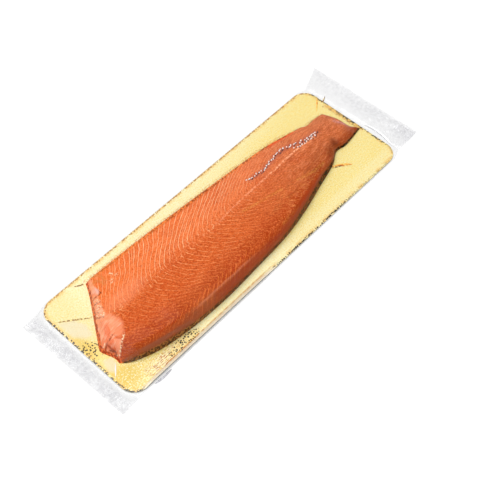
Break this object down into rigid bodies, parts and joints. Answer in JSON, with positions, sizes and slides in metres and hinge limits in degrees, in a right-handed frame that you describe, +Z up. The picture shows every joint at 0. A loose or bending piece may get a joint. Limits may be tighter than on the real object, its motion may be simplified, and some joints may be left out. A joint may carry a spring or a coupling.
{
  "type": "vacuum pack of smoked salmon",
  "caption": "Trimmed side of cold-smoked salmon lying on a gold board, sealed in clear vacuum film whose flat flaps reach past both ends of the board.",
  "frame": {"origin": "centre of the pack's bounding box, on the flat underside of the bottom film", "axes": "+X from the cut shoulder end to the tail, +Y from the thick loin edge to the thin belly edge, +Z up, flesh side up"},
  "size_m": [0.595, 0.202, 0.0334],
  "materials": {
    "film": "clear glossy vacuum film, crinkled in the flaps",
    "gold_board": "card faced with satin gold foil",
    "salmon": "moist orange flesh with pale fat lines, glossy under film"
  },
  "bodies": {
    "root": {"film_bottom": "film", "gold_board": "gold_board", "salmon_side": "salmon", "film_top": "film"}
  },
  "joints": []
}
